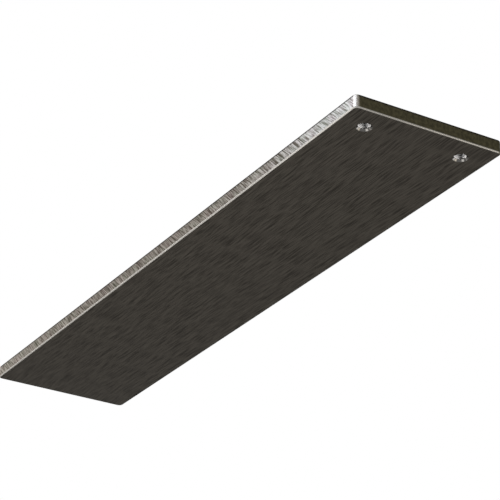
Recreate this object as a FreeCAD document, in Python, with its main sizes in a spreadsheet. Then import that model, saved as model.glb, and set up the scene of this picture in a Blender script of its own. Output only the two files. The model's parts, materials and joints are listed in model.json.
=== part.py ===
import FreeCAD, Part
import math
import os

import Sketcher
from FreeCAD import Placement, Rotation, Vector

# Floating shelf bracket: one flat bar of steel with rounded corners and edges, drilled and
# chamfered for two screws near one end.
# Frame, in millimetres: the origin is midway between the screw holes, on the bearing face that the
# shelf lies on. +X runs along the bar to its plain end, +Y across it, and +Z up out of that face.

document = FreeCAD.newDocument("floating_shelf_bracket")

# Driving dimensions, in millimetres and degrees
dimensions = [
    ("plate_length", 355.6, "bar length, 14 in"),
    ("plate_width", 76.2, "bar width, 3 in"),
    ("plate_thickness", 6.35, "bar thickness, 1/4 in"),
    ("corner_radius", 2.5, "plan radius of the four corners"),
    ("edge_round", 0.6, "rounding along the outline of both faces"),
    ("hole_diameter", 5.5, "clearance hole for a 5 mm screw"),
    ("chamfer_diameter", 7.1, "mouth of the chamfer in the underside"),
    ("chamfer_angle", 90.0, "included angle of the chamfer"),
    ("rim_round", 0.15, "rounding of the hole mouths on both faces"),
    ("hole_end_inset", 13.0, "hole centre to the drilled end"),
    ("hole_side_inset", 13.1, "hole centre to the nearer long side"),
]
sheet = document.addObject("Spreadsheet::Sheet", "Dimensions")
for row, (alias, value, note) in enumerate(dimensions, start=1):
    sheet.set(f"A{row}", note)
    sheet.set(f"B{row}", str(value))
    sheet.setAlias(f"B{row}", alias)
document.recompute()


def same(first, second):
    """Whether two lengths agree within the modeller's own tolerance."""
    return math.isclose(first, second, abs_tol=1e-6)


def plane_of(body, role):
    return next(feature for feature in body.Origin.OriginFeatures if feature.Role == role)


def dimension(sketch, constraint, formula):
    """Adds a constraint to the sketch and ties its value to the sheet."""
    index = sketch.addConstraint(constraint)
    sketch.setExpression(f"Constraints[{index}]", formula)


def level_edges(shape, height, closed):
    """Names of the edges that lie flat at this height: closed ones are hole mouths."""
    names = []
    for number, edge in enumerate(shape.Edges, start=1):
        box = edge.BoundBox
        level = same(box.ZMin, height) and same(box.ZMax, height)
        if level and edge.isClosed() == closed:
            names.append(f"Edge{number}")
    return names


def upright_edges(shape):
    """Names of the straight edges that run up through the plate."""
    names = []
    for number, edge in enumerate(shape.Edges, start=1):
        box = edge.BoundBox
        if same(box.XLength, 0) and same(box.YLength, 0):
            names.append(f"Edge{number}")
    return names


def rounded(body, base, name, edges, radius):
    """Rounds the named edges of the feature before it, by a radius of the sheet."""
    fillet = body.newObject("PartDesign::Fillet", name)
    fillet.Base = (base, edges)
    fillet.setExpression("Radius", radius)
    document.recompute()
    return fillet


def plate_blank(body):
    """The cut bar: a rectangle, hung down from the bearing face by the bar's thickness."""
    sketch = body.newObject("Sketcher::SketchObject", "bar_outline")
    sketch.AttachmentSupport = (plane_of(body, "XY_Plane"), [""])
    sketch.MapMode = "FlatFace"
    start, end = -sheet.hole_end_inset, sheet.plate_length - sheet.hole_end_inset
    side = sheet.plate_width / 2
    corners = [Vector(start, -side), Vector(end, -side), Vector(end, side), Vector(start, side)]
    for here, there in zip(corners, corners[1:] + corners[:1]):
        sketch.addGeometry(Part.LineSegment(here, there), False)
    right, plain_end, left, drilled_end = range(4)
    first, last = 1, 2
    horizontal_axis, origin = -1, -1
    for line in range(4):
        sketch.addConstraint(Sketcher.Constraint("Coincident", line, last, (line + 1) % 4, first))
    sketch.addConstraint([Sketcher.Constraint("Horizontal", line) for line in (right, left)])
    sketch.addConstraint(Sketcher.Constraint("Vertical", plain_end))
    sketch.addConstraint(
        Sketcher.Constraint("Symmetric", drilled_end, first, drilled_end, last, horizontal_axis)
    )
    dimension(
        sketch,
        Sketcher.Constraint("DistanceX", right, first, right, last, sheet.plate_length),
        "Dimensions.plate_length",
    )
    dimension(
        sketch,
        Sketcher.Constraint("DistanceY", plain_end, first, plain_end, last, sheet.plate_width),
        "Dimensions.plate_width",
    )
    dimension(
        sketch,
        Sketcher.Constraint("DistanceX", right, first, origin, first, sheet.hole_end_inset),
        "Dimensions.hole_end_inset",
    )
    blank = body.newObject("PartDesign::Pad", "cut_bar")
    blank.Profile = sketch
    blank.Reversed = True
    blank.setExpression("Length", "Dimensions.plate_thickness")
    document.recompute()
    return blank


def screw_holes(body):
    """Two holes drilled up through the plate, each chamfered at the underside."""
    sketch = body.newObject("Sketcher::SketchObject", "screw_centres")
    sketch.AttachmentSupport = (plane_of(body, "XY_Plane"), [""])
    sketch.MapMode = "FlatFace"
    sketch.setExpression("AttachmentOffset.Base.z", "-Dimensions.plate_thickness")
    reach = sheet.plate_width / 2 - sheet.hole_side_inset
    centre, origin, upright_axis = 3, -1, -2
    for circle, side in enumerate((-1, 1)):
        middle = Vector(0, side * reach)
        sketch.addGeometry(Part.Circle(middle, Vector(0, 0, 1), sheet.hole_diameter / 2), False)
        sketch.addConstraint(Sketcher.Constraint("PointOnObject", circle, centre, upright_axis))
        dimension(
            sketch,
            Sketcher.Constraint("Diameter", circle, sheet.hole_diameter),
            "Dimensions.hole_diameter",
        )
        ends = (circle, centre, origin, 1) if side < 0 else (origin, 1, circle, centre)
        dimension(
            sketch,
            Sketcher.Constraint("DistanceY", *ends, reach),
            "Dimensions.plate_width / 2 - Dimensions.hole_side_inset",
        )
    document.recompute()
    solid_volume = body.Shape.Volume
    drilled = body.newObject("PartDesign::Hole", "screw_holes")
    drilled.Profile = sketch
    drilled.Reversed = True
    drilled.DepthType = "ThroughAll"
    drilled.Threaded = False
    drilled.HoleCutType = "Countersink"
    drilled.HoleCutCustomValues = True
    drilled.setExpression("Diameter", "Dimensions.hole_diameter")
    drilled.setExpression("HoleCutDiameter", "Dimensions.chamfer_diameter")
    drilled.setExpression("HoleCutCountersinkAngle", "Dimensions.chamfer_angle")
    document.recompute()
    bore_area = math.pi * sheet.hole_diameter**2 / 4
    if solid_volume - drilled.Shape.Volume < 2 * bore_area * sheet.plate_thickness:
        raise RuntimeError("the screw holes don't go through the plate")
    return drilled


def bracket_plate():
    body = document.addObject("PartDesign::Body", "bracket_plate")
    body.Label = "bracket_plate"
    body.Placement = Placement(Vector(0, 0, 0), Rotation())
    document.recompute()
    blank = plate_blank(body)
    rounded(body, blank, "corners", upright_edges(blank.Shape), "Dimensions.corner_radius")
    drilled = screw_holes(body)
    top, bottom = 0, -sheet.plate_thickness
    outline = level_edges(drilled.Shape, top, False) + level_edges(drilled.Shape, bottom, False)
    eased = rounded(body, drilled, "outline_edges", outline, "Dimensions.edge_round")
    mouths = level_edges(eased.Shape, top, True) + level_edges(eased.Shape, bottom, True)
    rounded(body, eased, "hole_mouths", mouths, "Dimensions.rim_round")
    return body


bodies = [bracket_plate()]
document.recompute()

for item in document.Objects:
    if "Invalid" in item.State or "Error" in item.State:
        raise RuntimeError(f"{item.Label} failed: {item.State}")
for body in bodies:
    if body.Shape.isNull() or not body.Shape.isValid() or len(body.Shape.Solids) != 1:
        raise RuntimeError(f"{body.Label} isn't one sound solid")

os.makedirs("parts", exist_ok=True)
for body in bodies:
    body.Shape.exportStep(f"parts/{body.Label}.step")
    box = body.Shape.optimalBoundingBox()
    print(
        f"{body.Label}: {box.XLength:.2f} x {box.YLength:.2f} x {box.ZLength:.2f} mm,"
        f" {body.Shape.Volume:.0f} mm3"
    )
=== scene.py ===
# Floating shelf bracket: a flat bar of dark brushed steel with two drilled and chamfered holes
# near one end.
import json
import math

import bmesh
import bpy
import numpy as np
from mathutils import Matrix, Vector


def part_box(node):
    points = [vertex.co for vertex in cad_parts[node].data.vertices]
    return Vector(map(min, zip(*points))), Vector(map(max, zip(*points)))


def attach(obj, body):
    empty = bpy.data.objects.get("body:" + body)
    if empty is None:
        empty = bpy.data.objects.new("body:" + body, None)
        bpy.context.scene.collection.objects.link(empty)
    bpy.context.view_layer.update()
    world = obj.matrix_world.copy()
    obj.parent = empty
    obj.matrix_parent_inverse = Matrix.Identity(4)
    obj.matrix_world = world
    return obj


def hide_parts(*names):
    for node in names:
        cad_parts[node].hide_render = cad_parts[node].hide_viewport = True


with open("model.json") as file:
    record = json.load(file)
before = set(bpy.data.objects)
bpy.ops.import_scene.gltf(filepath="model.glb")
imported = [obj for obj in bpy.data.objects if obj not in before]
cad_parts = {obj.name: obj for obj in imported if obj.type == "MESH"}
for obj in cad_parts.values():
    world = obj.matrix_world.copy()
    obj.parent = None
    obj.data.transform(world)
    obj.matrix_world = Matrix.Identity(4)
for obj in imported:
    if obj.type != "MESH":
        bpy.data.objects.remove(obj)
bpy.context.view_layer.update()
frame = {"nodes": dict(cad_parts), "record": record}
mm = 0.001  # metres
scene = bpy.context.scene
print("frame loaded:", sorted(frame["nodes"]))


# Small helpers for colours and nodes

def grey(level):
    return (level, level, level, 1.0)  # red, green, blue and alpha


def linearColour(hexCode):
    # sRGB to linear: a straight slope near black, and above it a power of 2.4
    srgb = np.array([int(hexCode[i:i + 2], 16) for i in (1, 3, 5)]) / 255.0
    rgb = np.where(srgb <= 0.04045, srgb / 12.92, ((srgb + 0.055) / 1.055) ** 2.4)
    return (*rgb.tolist(), 1.0)


def newTree(owner):
    owner.use_nodes = True
    owner.node_tree.nodes.clear()
    return owner.node_tree


def newMaterial(name):
    material = bpy.data.materials.new(name)
    return material, newTree(material)


def addNode(tree, kind, inputs=None, **settings):
    # an input that is another node's output is linked, and any other is set
    node = tree.nodes.new(kind)
    for name, value in settings.items():
        setattr(node, name, value)
    for name, value in (inputs or {}).items():
        if isinstance(value, bpy.types.NodeSocket):
            tree.links.new(value, node.inputs[name])
        else:
            node.inputs[name].default_value = value
    return node


def combine(tree, operation, first, second):
    return addNode(tree, "ShaderNodeMath", {0: first, 1: second}, operation=operation).outputs[0]


def spread(tree, value, low, high, toLow=0.0, toHigh=1.0):
    # a straight line from toLow at low to toHigh at high, and level beyond them
    return addNode(tree, "ShaderNodeMapRange", {
        "Value": value, "From Min": low, "From Max": high, "To Min": toLow, "To Max": toHigh,
    }).outputs[0]


def blend(tree, share, first, second):
    # first where the share is 0, passing evenly to second where it is 1
    first, second = (linearColour(end) if isinstance(end, str) else end for end in (first, second))
    return addNode(tree, "ShaderNodeMixRGB", {
        "Fac": share, "Color1": first, "Color2": second,
    }).outputs[0]


# The bar's mesh

plateShape = {
    "cornerRadius": 2.5 * mm,  # upright corners
    "edgeRound": 0.6 * mm,  # rounding along both outlines
    "rimShadeBand": 0.6 * mm,  # over which the upper rounding's painted shade fades below it
    "chamferRadius": 3.55 * mm,  # of the holes' chamfers at the underside
    "chamferAngle": 90.0,  # whole angle of the chamfer's cone, degrees
    "mouthRound": 0.15 * mm,  # eased rims of the holes
    "holePatch": 6.0 * mm,  # half side of the square of mesh round a hole
    "holeGather": 1.5,  # power that draws the square's rows towards the hole
    "faceStep": 3.0 * mm,  # largest cell of the flat faces
    "roundSteps": 8,  # faces round each edge rounding
    "cornerSteps": 20,  # faces round each upright corner
    "holeSteps": 18,  # cells along one side of a hole's square
    "boreSteps": 14,  # faces down the straight part of a hole
    "boreShadeFade": 3.0 * mm,  # how far up from its chamfer the bore's colour darkens into painted shade
    "sharpAngle": 30.0,  # edges turning by more stay crisp, degrees
    "markLean": 48.0,  # of the grinding marks on the wall, degrees from upright
    # degrees where a finish starts, is whole, is still whole and has gone
    "endShadeReach": (-30.0, -2.0, 70.0, 85.0),  # the ends' finish, painted dark olive as shade and reflection, from an end's own direction
    "cornerHighlightReach": (-80.0, -65.0, -42.0, -10.0),  # the corners painted bright from top to bottom as a highlight, from the same
    "lowerHighlightReach": (45.0, 80.0, 172.0, 252.0),  # the lower edge rubbed and painted bright as a highlight, painted dark as shade beyond, from +X
}
weldDistance = 0.001 * mm  # points closer than this are one
faceFinish, wallFinish, holeFinish = range(3)  # material slots of the bar


def gridLines(stops, holeRuns):
    # straight runs between neighbouring stops in equal parts, no longer than the face's step, or
    # with the hole's own count of parts where a run crosses a hole's square
    spans = list(zip(stops, stops[1:]))
    counts = [max(1, math.ceil((b - a) / plateShape["faceStep"])) for a, b in spans]
    for run in holeRuns:
        counts[run] = plateShape["holeSteps"]
    parts = [np.linspace(a, b, count, endpoint=False) for (a, b), count in zip(spans, counts)]
    return np.append(np.concatenate(parts), stops[-1])


def arc(reach, height, radius, startDegrees, endDegrees):
    # circle about (reach, height), walked from one angle to the other
    angle = np.radians(np.linspace(startDegrees, endDegrees, plateShape["roundSteps"] + 1))
    return np.stack([reach + radius * np.cos(angle), height + radius * np.sin(angle)], axis=-1)


def wholeTurn():
    # angles once round a hole, one for each cell of its square, from the corner at -135 degrees
    return np.linspace(-0.75 * np.pi, 1.25 * np.pi, 4 * plateShape["holeSteps"] + 1)


def runLength(points):
    # distance walked along a row of points, from its first point
    return np.append(0.0, np.cumsum(np.linalg.norm(np.diff(points, axis=0), axis=1)))


def pairUp(first, second):
    # two values at every point of a grid
    return np.stack(np.broadcast_arrays(first, second), axis=-1)


def roundedOutline(xLines, yLines):
    # one walk round the inner rectangle; the outward heading is fixed along a side and turns a
    # quarter about each corner point
    quarter = np.pi / 2
    turn = np.linspace(0.0, quarter, plateShape["cornerSteps"] + 1)[1:-1]
    (left, right), (front, back) = xLines[[0, -1]], yLines[[0, -1]]
    alongX, alongY, still = np.ones_like(xLines), np.ones_like(yLines), np.ones_like(turn)
    x = [xLines, right * still, right * alongY, right * still,
         xLines[::-1], left * still, left * alongY, left * still, [left]]
    y = [front * alongX, front * still, yLines, back * still,
         back * alongX, back * still, yLines[::-1], front * still, [front]]
    heading = [-quarter * alongX, turn - quarter, 0.0 * alongY, turn,
               quarter * alongX, quarter + turn, 2 * quarter * alongY, 2 * quarter + turn,
               [3 * quarter]]
    return np.concatenate(x), np.concatenate(y), np.concatenate(heading)


def carryProfile(profile, x, y, heading):
    # point = base point + the profile's reach along the heading, at the profile's height
    reach, height = profile[:, :1], profile[:, 1:]
    return np.stack([x + reach * np.cos(heading), y + reach * np.sin(heading),
                     height + 0.0 * heading], axis=-1)


def patchOf(points, grain, share, finish, keep=None):
    return {"points": points, "grain": grain, "share": share, "finish": finish, "keep": keep}


def flatPatch(points, finish, keep=None):
    # grain runs along X on the faces, so its UV is (Y, X): across the grain, then along it
    return patchOf(points, points[..., [1, 0]], np.zeros(points.shape[:2] + (2,)), finish, keep)


def holeSquare(centre, mouth, height):
    # straight lines from a hole's mouth to the square round it, both walked once from one corner
    half, steps = plateShape["holePatch"], plateShape["holeSteps"]
    side = np.linspace(-half, half, steps + 1)[:-1]
    edge = np.full(steps, half)
    square = np.stack([np.concatenate([side, edge, -side, -edge, [-half]]),
                       np.concatenate([-edge, side, edge, -side, [-half]])], axis=-1)
    angle = wholeTurn()
    circle = mouth * np.stack([np.cos(angle), np.sin(angle)], axis=-1)
    share = np.linspace(0.0, 1.0, steps // 2 + 1)[:, None, None] ** plateShape["holeGather"]
    flat = np.array(centre) + (1.0 - share) * circle + share * square
    return np.concatenate([flat, np.full(flat.shape[:2] + (1,), height)], axis=-1)


def wallPatch(x, y, heading, bottom, top):
    # the wall's profile, straight between two roundings, carried round the outline
    shape = plateShape
    corner, edge, steps = shape["cornerRadius"], shape["edgeRound"], shape["roundSteps"]
    profile = np.concatenate([
        arc(corner - edge, top - edge, edge, 90, 0),
        [[corner, top - edge - shape["rimShadeBand"]]],
        arc(corner - edge, bottom + edge, edge, 0, -90),
    ])
    points = carryProfile(profile, x, y, heading)
    along, down = np.broadcast_arrays(runLength(points[steps, :, :2])[None, :],
                                      runLength(profile)[:, None])
    lean = math.radians(shape["markLean"])
    grain = pairUp(along * math.cos(lean) - down * math.sin(lean),
                   along * math.sin(lean) + down * math.cos(lean))
    turn = np.mod(np.degrees(heading) + 90.0, 180.0) - 90.0  # from the direction of the nearer end
    onEnd = np.interp(turn, shape["endShadeReach"], [0.0, 1.0, 1.0, 0.0])
    cornerHighlight = np.interp(turn, shape["cornerHighlightReach"], [0.0, 1.0, 1.0, 0.0])
    # painted light on the lower rims: a highlight on the edges in view and shade on the others
    lowerHighlight = np.interp(np.degrees(heading), shape["lowerHighlightReach"], [-1.0, 1.0, 1.0, -1.0])
    upperRim, lowerRim = (np.repeat(rows, [steps + 1, 2, steps])[:, None]
                          for rows in ([1.0, 0.0, 0.0], [0.0, 0.0, 1.0]))
    rim = lowerRim * lowerHighlight - upperRim  # 1 where a lower edge is rubbed bright with a painted highlight, -1 where painted dark as shade
    rim = rim + (1.0 - rim) * cornerHighlight  # painted highlight: the corner strip is bright from top to bottom
    return patchOf(points, grain, pairUp(onEnd[None, :], rim), wallFinish)


def boreProfile(holeRadius, bottom, top):
    # down a hole: the upper rim's rounding, the straight bore, the chamfer and the lower rounding
    shape = plateShape
    ease, sink = shape["mouthRound"], shape["chamferRadius"]
    cone = math.radians(0.5 * shape["chamferAngle"])
    rimRun = ease * math.tan(0.5 * (0.5 * math.pi - cone))  # the easing's reach past the sharp rim
    chamferTop = bottom + (sink - holeRadius) / math.tan(cone)
    straight = np.linspace(top - ease, chamferTop, shape["boreSteps"] + 1)[1:]
    profile = np.concatenate([
        arc(holeRadius + ease, top - ease, ease, 90, 180),
        np.stack([np.full_like(straight, holeRadius), straight], axis=-1),
        arc(sink + rimRun, bottom + ease, ease, 180 + math.degrees(cone), 270),
    ])
    height = profile[:, 1]
    onChamfer = (height < chamferTop + weldDistance).astype(float)
    # painted shade: the bore keeps its colour near the chamfer and darkens higher up
    nearMouth = np.clip(1.0 - (height - chamferTop) / shape["boreShadeFade"], 0.0, 1.0)
    return profile, onChamfer[:, None], nearMouth[:, None]


def meshFromPatches(name, patches):
    # every patch is a grid of points; neighbouring rows and columns make its four-sided faces
    faces, finishes, first = [], [], 0
    for patch in patches:
        rows, columns = patch["points"].shape[:2]
        index = first + np.arange(rows * columns).reshape(rows, columns)
        quads = np.stack([index[:-1, :-1], index[1:, :-1], index[1:, 1:], index[:-1, 1:]], axis=-1)
        quads = quads.reshape(-1, 4) if patch["keep"] is None else quads[patch["keep"]]
        faces.append(quads)
        finishes.append(np.full(len(quads), patch["finish"]))
        first += rows * columns
    faces = np.concatenate(faces)
    points = np.concatenate([patch["points"].reshape(-1, 3) for patch in patches])
    mesh = bpy.data.meshes.new(name)
    mesh.from_pydata(points, [], faces)
    for layer in ("grain", "share"):
        values = np.concatenate([patch[layer].reshape(-1, 2) for patch in patches])
        mesh.uv_layers.new(name=layer).data.foreach_set("uv", values[faces.ravel()].ravel())
    mesh.polygons.foreach_set("material_index", np.concatenate(finishes).astype(np.int32))
    shell = bmesh.new()
    shell.from_mesh(mesh)
    bmesh.ops.remove_doubles(shell, verts=shell.verts, dist=weldDistance)
    bmesh.ops.recalc_face_normals(shell, faces=shell.faces)
    shell.to_mesh(mesh)
    shell.free()
    mesh.shade_smooth()
    mesh.set_sharp_from_angle(angle=math.radians(plateShape["sharpAngle"]))
    return mesh


def buildPlate():
    low, high = (np.array(corner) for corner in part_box("bracket_plate"))
    bottom, top = low[2], high[2]
    mounts = {mount["name"]: mount for mount in frame["record"]["mounts"]}
    holeRadius = mounts["screw_holes"]["dims"]["hole_r_mm"] * mm
    holeX, holeY = np.abs(mounts["left_screw_hole"]["pos_m"][:2])
    holes = [(holeX, -holeY), (holeX, holeY)]
    corner, half = plateShape["cornerRadius"], plateShape["holePatch"]

    xLines = gridLines([low[0] + corner, holeX - half, holeX + half, high[0] - corner], [1])
    yLines = gridLines([low[1] + corner, -holeY - half, half - holeY,
                        holeY - half, holeY + half, high[1] - corner], [1, 3])
    xMiddle, yMiddle = (0.5 * (lines[:-1] + lines[1:]) for lines in (xLines, yLines))
    inSquare = ((np.abs(xMiddle - holeX) < half)[:, None]
                & (np.abs(np.abs(yMiddle) - holeY) < half)[None, :])
    outline = roundedOutline(xLines, yLines)
    bore, onChamfer, nearMouth = boreProfile(holeRadius, bottom, top)

    patches = [wallPatch(*outline, bottom, top)]
    for height, mouth in ((top, bore[0, 0]), (bottom, bore[-1, 0])):
        margin = np.array([[0.0, height], [corner - plateShape["edgeRound"], height]])
        patches.append(flatPatch(carryProfile(margin, *outline), faceFinish))
        sheet = np.stack(np.meshgrid(xLines, yLines, [height], indexing="ij"), axis=-1)[:, :, 0]
        patches.append(flatPatch(sheet, faceFinish, ~inSquare))
        for centre in holes:
            patches.append(flatPatch(holeSquare(centre, mouth, height), faceFinish))
    angle = wholeTurn()
    grain = pairUp(runLength(bore)[:, None], holeRadius * angle)
    share = pairUp(onChamfer, nearMouth + 0.0 * angle)
    for centre in holes:
        patches.append(patchOf(carryProfile(bore, *centre, angle), grain, share, holeFinish))

    plate = bpy.data.objects.new("brushedBar", meshFromPatches("brushedBar", patches))
    scene.collection.objects.link(plate)
    weights = plate.modifiers.new("flatFaceNormals", "WEIGHTED_NORMAL")
    weights.keep_sharp = True
    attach(plate, "root")
    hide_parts("bracket_plate")
    print("bar built:", len(plate.data.polygons), "faces")
    return plate


# Finishes: a cell is a width across the grain and a length along it, in millimetres, and the marks
# are drawn coarser than real ones so that they show

edgeTint = grey(0.5)  # keeps dulled steel from whitening at a low angle, as oiled scale does
noiseReach = (0.3, 0.7)  # nearly all values of a noise lie between these
noiseRoughness = 0.6


def grainNoise(tree, cell, detail):
    # noise whose pattern is as wide and long as the cell, along the mesh's grain
    width, length = cell
    lengths = addNode(tree, "ShaderNodeUVMap", uv_map="grain")
    cells = addNode(tree, "ShaderNodeVectorMath", {
        0: lengths.outputs[0], 1: (1.0 / (width * mm), 1.0 / (length * mm), 0.0),
    }, operation="MULTIPLY")
    return addNode(tree, "ShaderNodeTexNoise", {
        "Vector": cells.outputs[0], "Scale": 1.0, "Detail": detail, "Roughness": noiseRoughness,
    }).outputs[0]


def readShares(tree):
    # the two shares that the mesh carries at each point
    shares = addNode(tree, "ShaderNodeUVMap", uv_map="share")
    return addNode(tree, "ShaderNodeSeparateXYZ", {0: shares.outputs[0]}).outputs[:2]


def finishMetal(tree, colour, roughness, bump, bumpDepth, anisotropy, metallic=1.0):
    across = addNode(tree, "ShaderNodeTangent", direction_type="UV_MAP", uv_map="grain")
    relief = addNode(tree, "ShaderNodeBump", {
        "Height": bump, "Strength": 1.0, "Distance": bumpDepth * mm,
    })
    metal = addNode(tree, "ShaderNodeBsdfPrincipled", {
        "Base Color": colour, "Metallic": metallic, "Roughness": roughness,
        "Anisotropic": anisotropy, "Specular Tint": edgeTint,
        "Tangent": across.outputs[0], "Normal": relief.outputs[0],
    })
    addNode(tree, "ShaderNodeOutputMaterial", {"Surface": metal.outputs[0]})


brushedLook = {
    "dark": "#2f2c28", "light": "#48443e",
    "hairCell": (0.35, 12.0), "scratchCell": (0.45, 22.0), "detail": 1.0,
    "lineReach": (0.36, 0.5),  # values of the noise where a line is darkest and has gone
    "roughness": (0.28, 0.36), "anisotropy": 0.3,
    "bumpDepth": 0.003,  # millimetres
}


def brushedSteel():
    # low-carbon flat bar, belt-brushed along its length and oiled: dark warm grey with hairlines
    look = brushedLook
    material, tree = newMaterial("brushedDarkSteel")
    hairs = combine(tree, "MINIMUM", grainNoise(tree, look["hairCell"], look["detail"]),
                    grainNoise(tree, look["scratchCell"], look["detail"]))
    colour = blend(tree, spread(tree, hairs, *look["lineReach"]), look["dark"], look["light"])
    roughness = spread(tree, hairs, *noiseReach, *look["roughness"])
    finishMetal(tree, colour, roughness, hairs, look["bumpDepth"], look["anisotropy"])
    return material


groundLook = {
    # the long sides' light tone is partly a painted sheen
    "dark": "#28231e", "light": "#b9b3ab",
    "markCell": (0.75, 14.0), "fineCell": (0.45, 8.0), "detail": 2.0,
    "markReach": (0.83, 1.17),  # sums of the two noises where the steel is dark and light
    "rosy": "#87756d", "olive": "#7d7b69", "tintShare": 0.35,
    "tintCell": (5.0, 14.0), "tintDetail": 1.0, "tintReach": (0.35, 0.65),
    "wearAndHighlight": "#96938e", "wornRoughness": 0.42,  # edges rubbed bright, and brighter still as a painted highlight
    "rimShade": "#1c1a17",  # edges painted dark as shade
    "roughness": (0.2, 0.3), "anisotropy": 0.5,
    "bumpDepth": 0.008,  # millimetres
}
# the ends' dark olive is painted shade and a painted olive reflection, with spots
endShadeLook = {
    "dark": "#302d22", "light": "#464231", "roughness": 0.45,
    "spotSize": 1.6,  # millimetres
    "spotDetail": 4.0,
}


def wallSteel():
    # long sides ground with leaning marks, their light colour partly a painted sheen, passing
    # round the corners into ends cut dull and painted dark olive as shade and reflection
    look = groundLook
    material, tree = newMaterial("groundSteelWall")
    onEnd, rim = readShares(tree)
    # painted light on the rims: a highlight, partly on rubbed steel, and a painted shade
    wearAndHighlight, rimShade = spread(tree, rim, 0.0, 1.0), spread(tree, rim, 0.0, -1.0)
    marks = grainNoise(tree, look["markCell"], look["detail"])
    fine = grainNoise(tree, look["fineCell"], look["detail"])
    both = spread(tree, combine(tree, "ADD", marks, fine), *look["markReach"])
    ground = blend(tree, both, look["dark"], look["light"])
    tintNoise = grainNoise(tree, look["tintCell"], look["tintDetail"])
    tint = blend(tree, spread(tree, tintNoise, *look["tintReach"]), look["rosy"], look["olive"])
    ground = blend(tree, look["tintShare"], ground, tint)

    place = addNode(tree, "ShaderNodeTexCoord")
    spotNoise = addNode(tree, "ShaderNodeTexNoise", {
        "Vector": place.outputs["Object"], "Scale": 1.0 / (endShadeLook["spotSize"] * mm),
        "Detail": endShadeLook["spotDetail"],
    })
    spots = spread(tree, spotNoise.outputs[0], *noiseReach)
    # painted light: the ends' dark olive is painted shade and reflection, the sides' light tone
    # partly painted sheen
    colour = blend(tree, onEnd, ground, blend(tree, spots, endShadeLook["dark"], endShadeLook["light"]))
    colour = blend(tree, wearAndHighlight, colour, look["wearAndHighlight"])
    colour = blend(tree, rimShade, colour, look["rimShade"])

    roughness = spread(tree, both, 0.0, 1.0, *look["roughness"])
    roughness = blend(tree, onEnd, roughness, grey(endShadeLook["roughness"]))
    roughness = blend(tree, wearAndHighlight, roughness, grey(look["wornRoughness"]))
    anisotropy = spread(tree, onEnd, 0.0, 1.0, look["anisotropy"], 0.0)
    bump = blend(tree, onEnd, both, spots)
    finishMetal(tree, colour, roughness, bump, look["bumpDepth"], anisotropy)
    return material


turnedLook = {
    # the deep colour is painted shade high in the bore, and also the colour of the turning rings
    "deepShadeAndRings": "#0f0f0e", "bore": "#858381", "chamfer": "#5a5855",
    "ringCell": (0.35, 6.0), "ringDetail": 1.0, "ringShare": 0.15,
    "roughness": (0.6, 0.14), "metallic": (0.3, 1.0),  # in the bore and on the chamfer
    "anisotropy": 0.2,
    "bumpDepth": 0.003,  # millimetres
}


def turnedSteel():
    # drilled and chamfered after brushing: clean grey steel with turning rings, painted dark as
    # shade deeper in the bore
    look = turnedLook
    material, tree = newMaterial("turnedSteelHole")
    onChamfer, nearMouth = readShares(tree)
    rings = spread(tree, grainNoise(tree, look["ringCell"], look["ringDetail"]), *noiseReach)
    # painted shade darkening the bore away from its chamfer
    bore = blend(tree, nearMouth, look["deepShadeAndRings"], look["bore"])
    clean = blend(tree, onChamfer, bore, look["chamfer"])
    ringShare = combine(tree, "MULTIPLY", rings, look["ringShare"])
    colour = blend(tree, ringShare, clean, look["deepShadeAndRings"])
    roughness = spread(tree, onChamfer, 0.0, 1.0, *look["roughness"])
    metallic = spread(tree, onChamfer, 0.0, 1.0, *look["metallic"])
    finishMetal(tree, colour, roughness, rings, look["bumpDepth"], look["anisotropy"], metallic)
    return material


plate = buildPlate()
for makeFinish in (brushedSteel, wallSteel, turnedSteel):
    plate.data.materials.append(makeFinish())
print("finishes on:", [material.name for material in plate.data.materials])


# Studio

studio = {
    "floorDrop": 1.7,  # metres below the bar
    "floorHalf": 8.0,  # metres from the middle to a side
    "floorLines": 5,  # of its grid, each way
    "paint": "#bcbcbc",
    "glow": 0.6,  # of the floor where it is seen, which brings it to white
    "ambient": 0.7,  # the world's strength for light that isn't seen directly
}
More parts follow.
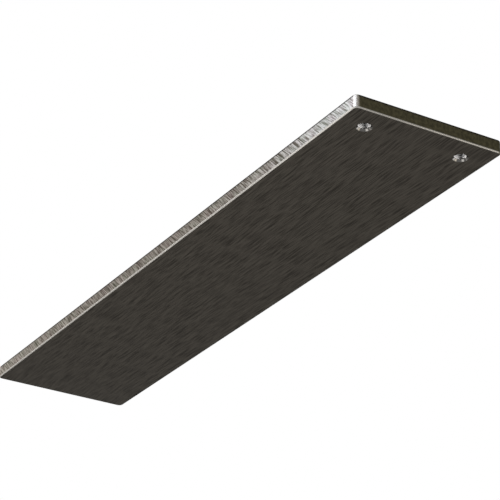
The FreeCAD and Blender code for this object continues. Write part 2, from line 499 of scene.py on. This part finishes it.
# aim in millimetres, azimuth from +X towards +Y and elevation in degrees, distance and size in
# metres, and radiance, which is 1 for the white background
softboxes = {
    "keySoftbox": {
        "aim": (-13.0, 38.0, -3.0), "azimuth": 98.0, "elevation": 30.0, "distance": 1.2,
        "size": (1.24, 0.7), "radiance": 5.4, "colour": "#eaf1ff"},
    "sideSoftbox": {
        "aim": (-10.0, 38.0, -3.0), "azimuth": 40.0, "elevation": 31.0, "distance": 0.28,
        "size": (0.105, 0.155), "radiance": 2.65, "colour": "#d8e7ff"},
    "farSoftbox": {
        "aim": (342.0, 38.0, -3.0), "azimuth": 20.0, "elevation": 21.0, "distance": 0.4,
        "size": (0.14, 0.12), "radiance": 0.42, "colour": "#ffffff"},
    "lowSideSoftbox": {
        "aim": (0.0, 38.0, -6.0), "azimuth": 38.0, "elevation": -5.0, "distance": 0.65,
        "size": (0.55, 0.18), "radiance": 2.8, "colour": "#fffdfa"},
    "nearSideSoftbox": {
        "aim": (-44.0, 38.0, -6.0), "azimuth": 36.0, "elevation": -20.0, "distance": 0.14,
        "size": (0.1, 0.07), "radiance": 1.3, "colour": "#fffdfa"},
    "lowerSideSoftbox": {
        "aim": (0.0, 38.0, -6.0), "azimuth": 8.0, "elevation": -43.0, "distance": 0.65,
        "size": (0.4, 0.18), "radiance": 3.0, "colour": "#fffdfa"},
    "lowEndSoftbox": {
        "aim": (-13.0, -38.0, -6.0), "azimuth": 240.0, "elevation": -52.0, "distance": 0.2,
        "size": (0.07, 0.1), "radiance": 4.4, "colour": "#fff6e6"},
    "leftChamferSoftbox": {
        "aim": (0.0, 0.0, -6.0), "azimuth": 266.0, "elevation": -23.0, "distance": 1.2,
        "size": (0.5, 0.35), "radiance": 4.4, "colour": "#ffffff"},
    "rightChamferSoftbox": {
        "aim": (0.0, 0.0, -6.0), "azimuth": 92.0, "elevation": -54.0, "distance": 1.2,
        "size": (0.5, 0.5), "radiance": 4.0, "colour": "#ffffff"},
}
boreBeams = {  # narrow beams from above, down through both screw holes
    "rightBeam": {"azimuth": 58.0, "elevation": 64.0, "irradiance": 36.0},
    "leftBeam": {"azimuth": 213.0, "elevation": 62.0, "irradiance": 26.0},
}
beamShape = {
    "distance": 0.28,  # metres
    "angle": 1.0,  # whole angle of the beam's cone, degrees
    "blend": 0.4,  # share of the cone that fades
    "softSize": 0.002,  # radius of the lamp, metres
    "colour": "#ffffff",
}


def seenDirectly(tree):
    # 1 for rays from the camera, a mirror or glass, and 0 for light on matt surfaces
    rays = addNode(tree, "ShaderNodeLightPath").outputs
    seen = combine(tree, "MAXIMUM", rays["Is Camera Ray"], rays["Is Glossy Ray"])
    return combine(tree, "MAXIMUM", seen, rays["Is Transmission Ray"])


def buildWorld():
    world = bpy.data.worlds.new("whiteStudio")
    tree = newTree(world)
    strength = spread(tree, seenDirectly(tree), 0.0, 1.0, studio["ambient"], 1.0)
    light = addNode(tree, "ShaderNodeBackground", {"Color": grey(1.0), "Strength": strength})
    addNode(tree, "ShaderNodeOutputWorld", {"Surface": light.outputs[0]})
    scene.world = world


def buildFloor():
    # a level grid below the bar
    lines = np.linspace(-studio["floorHalf"], studio["floorHalf"], studio["floorLines"])
    x, y = np.meshgrid(lines, lines, indexing="ij")
    points = np.stack([x, y, np.full_like(x, -studio["floorDrop"])], axis=-1)
    mesh = meshFromPatches("studioFloor", [flatPatch(points, 0)])
    floor = bpy.data.objects.new("studioFloor", mesh)
    scene.collection.objects.link(floor)
    material, tree = newMaterial("matWhitePaint")  # plain white, and it still takes the shadow
    paint = addNode(tree, "ShaderNodeBsdfDiffuse", {"Color": linearColour(studio["paint"])})
    strength = spread(tree, seenDirectly(tree), 0.0, 1.0, 0.0, studio["glow"])
    glow = addNode(tree, "ShaderNodeEmission", {"Color": grey(1.0), "Strength": strength})
    both = addNode(tree, "ShaderNodeAddShader", {0: paint.outputs[0], 1: glow.outputs[0]})
    addNode(tree, "ShaderNodeOutputMaterial", {"Surface": both.outputs[0]})
    floor.data.materials.append(material)


def addLamp(name, kind, aim, azimuth, elevation, distance, colour):
    # a lamp at a distance from its aim, facing it
    a, e = math.radians(azimuth), math.radians(elevation)
    away = Vector((math.cos(a) * math.cos(e), math.sin(a) * math.cos(e), math.sin(e)))
    lamp = bpy.data.lights.new(name, kind)
    lamp.color = linearColour(colour)[:3]
    holder = bpy.data.objects.new(name, lamp)
    holder.location = Vector(aim) * mm + distance * away
    holder.rotation_euler = away.to_track_quat("Z", "Y").to_euler()
    holder.visible_camera = False
    scene.collection.objects.link(holder)
    return lamp


def addSoftbox(name, size, radiance, **place):
    # power is pi times the lamp's area times its radiance
    lamp = addLamp(name, "AREA", **place)
    lamp.shape = "RECTANGLE"
    lamp.size, lamp.size_y = size
    lamp.energy = math.pi * size[0] * size[1] * radiance


def addBoreBeam(name, irradiance, **place):
    # power is the light on a square metre at the aim, times the area of the sphere through it
    distance = beamShape["distance"]
    lamp = addLamp(name, "SPOT", distance=distance, colour=beamShape["colour"], **place)
    lamp.spot_size = math.radians(beamShape["angle"])
    lamp.spot_blend = beamShape["blend"]
    lamp.shadow_soft_size = beamShape["softSize"]
    lamp.energy = 4.0 * math.pi * distance ** 2 * irradiance


buildWorld()
buildFloor()
for name, softbox in softboxes.items():
    addSoftbox(name, **softbox)
boreMounts = [mount for mount in frame["record"]["mounts"] if mount["kind"] == "bore"]
for name, beam in boreBeams.items():
    for mount in boreMounts:
        holeX, holeY = mount["pos_m"][:2]
        addBoreBeam(name, aim=(holeX / mm, holeY / mm, 0.0), **beam)
print("studio lit")


# Camera: below the bar and beyond its drilled end, as in the photograph

view = {
    "eye": (-622.76, 443.41, -427.93),  # millimetres
    "aim": (128.19, 4.60, -6.35),  # the point of the underside at the middle of the picture
    "roll": 1.247,  # degrees
    "lens": 146.361,  # millimetres
    "sensor": 36.0,  # millimetres
}


def buildCamera():
    eye, aim = (Vector(view[name]) * mm for name in ("eye", "aim"))
    data = bpy.data.cameras.new("photoCamera")
    data.lens = view["lens"]
    data.sensor_width = view["sensor"]
    camera = bpy.data.objects.new("photoCamera", data)
    facing = (eye - aim).to_track_quat("Z", "Y").to_matrix()
    turned = facing @ Matrix.Rotation(math.radians(view["roll"]), 3, "Z")
    camera.matrix_world = Matrix.Translation(eye) @ turned.to_4x4()
    scene.collection.objects.link(camera)
    scene.camera = camera


buildCamera()
scene.view_settings.view_transform = "Standard"
print("camera placed")
